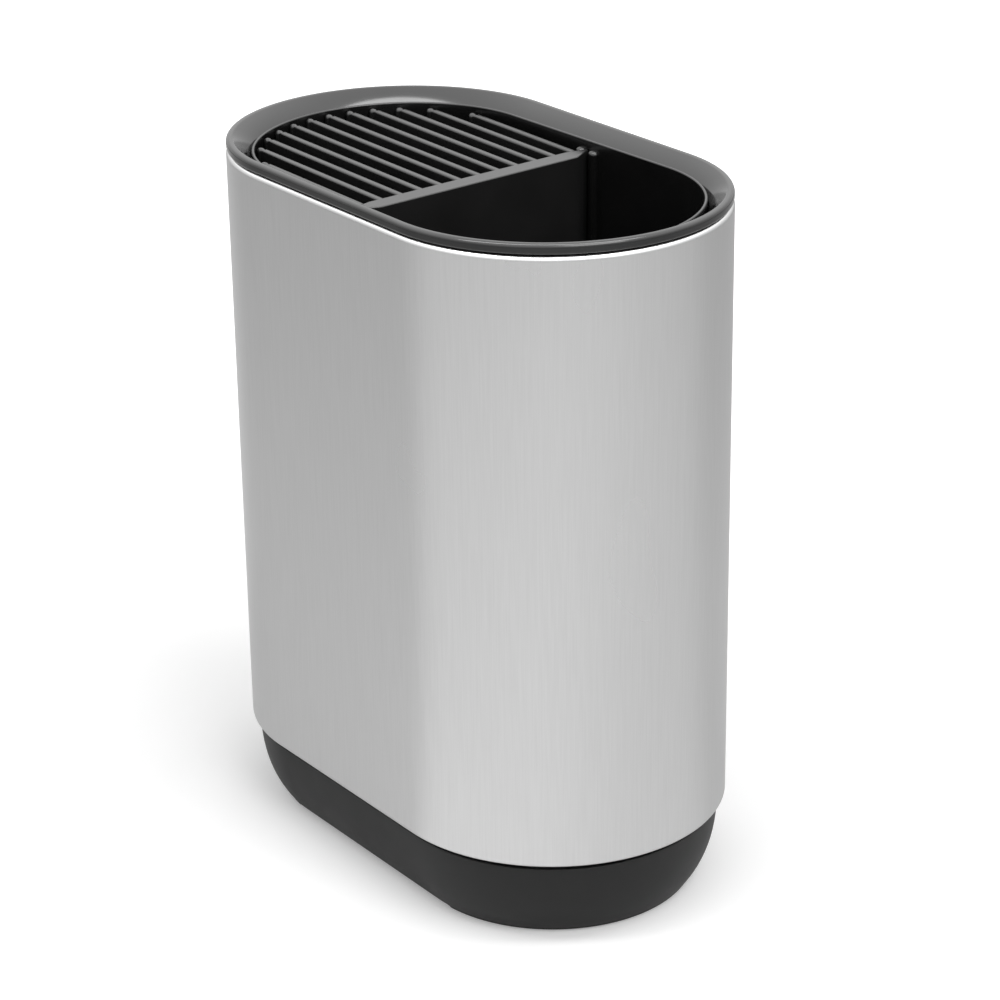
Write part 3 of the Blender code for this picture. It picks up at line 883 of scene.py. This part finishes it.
# %% World
world = bpy.data.worlds.new("studio")
bpy.context.scene.world = world
world.use_nodes = True
background = world.node_tree.nodes["Background"]
background.inputs["Color"].default_value = (1, 1, 1, 1)
where = add_node(world, "ShaderNodeTexCoord")
parts = add_node(world, "ShaderNodeSeparateXYZ")
ceiling = add_node(world, "ShaderNodeMapRange",
                   From_Min=0.1, From_Max=0.85, To_Min=1.0, To_Max=3.1)
ceiling.interpolation_type = "SMOOTHSTEP"
level = add_node(world, "ShaderNodeMapRange", To_Min=0.16, To_Max=1.0)
eye = add_node(world, "ShaderNodeLightPath")
plain = add_node(world, "ShaderNodeMix", B=1.0)
join(world, where.outputs["Generated"], parts.inputs["Vector"])
join(world, parts.outputs["Z"], ceiling.inputs["Value"])
join(world, seen_only(world), level.inputs["Value"])
lit = maths(world, "MULTIPLY", ceiling.outputs["Result"], level.outputs["Result"])
join(world, eye.outputs["Is Camera Ray"], plain.inputs["Factor"])
join(world, lit, plain.inputs["A"])
join(world, plain.outputs["Result"], background.inputs["Strength"])
print("world nodes:", len(world.node_tree.nodes))

# %% [markdown]
# A gloss black moulding looks like whatever it mirrors, so the lamps are placed from the lines
# that they draw on the rim. Each is a soft box, given by its direction and the brightness of its
# cloth, where white paper is 1. The larger one hangs to the right and throws the shadow to the
# left, and a long narrow one overhead draws the light band on the far side of the funnel.

# %% Soft boxes
AIM = Vector((0, 0, 0.12))


def soft_box(name, azimuth, elevation, distance, width, height, brightness):
    """An area lamp on a sphere round the holder. Azimuth 0 is the front, 90 the right."""
    lamp = bpy.data.lights.new(name, "AREA")
    lamp.shape = "RECTANGLE"
    lamp.size = width
    lamp.size_y = height
    lamp.energy = brightness * math.pi * width * height
    box = bpy.data.objects.new(name, lamp)
    bpy.context.scene.collection.objects.link(box)
    a, e = math.radians(azimuth), math.radians(elevation)
    out = Vector((math.sin(a) * math.cos(e), -math.cos(a) * math.cos(e), math.sin(e)))
    box.location = AIM + out * distance
    box.rotation_mode = "QUATERNION"
    box.rotation_quaternion = out.to_track_quat("Z", "Y")
    share = brightness * width * height / (math.pi * distance ** 2)
    print("%-10s lights a face that looks at it to %.2f" % (name, share))


soft_box("key_box", 85, 48, 1.7, 0.9, 0.8, 4.0)
soft_box("strip_box", 56, 76.5, 0.888, 1.2, 0.14, 9.0)

# %% [markdown]
# ## Camera
#
# The camera stands where the photographer's did. Its place was solved from the outlines of the
# steel in the photograph, with no shift of the lens, so the straight sides converge by the same
# small amount.

# %% Camera
camera_data = bpy.data.cameras.new("camera")
camera_data.sensor_width = 36
camera_data.lens = 111.28
camera = bpy.data.objects.new("camera", camera_data)
bpy.context.scene.collection.objects.link(camera)
bpy.context.scene.camera = camera
look = Vector((-0.740781, 0.547658, -0.388992))
level_right = Vector((0.598792, 0.800801, -0.012878))
camera.location = Vector((0.759564, -0.552725, 0.514593))
up = level_right.cross(look)
camera.rotation_mode = "QUATERNION"
camera.rotation_quaternion = Matrix((level_right, up, -look)).transposed().to_quaternion()
bpy.context.scene.view_settings.view_transform = "Standard"

# %% Measure the finished model's bounds
low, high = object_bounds()
print("visual model, mm:", [round(v / MM, 1) for v in (*low, *high)])
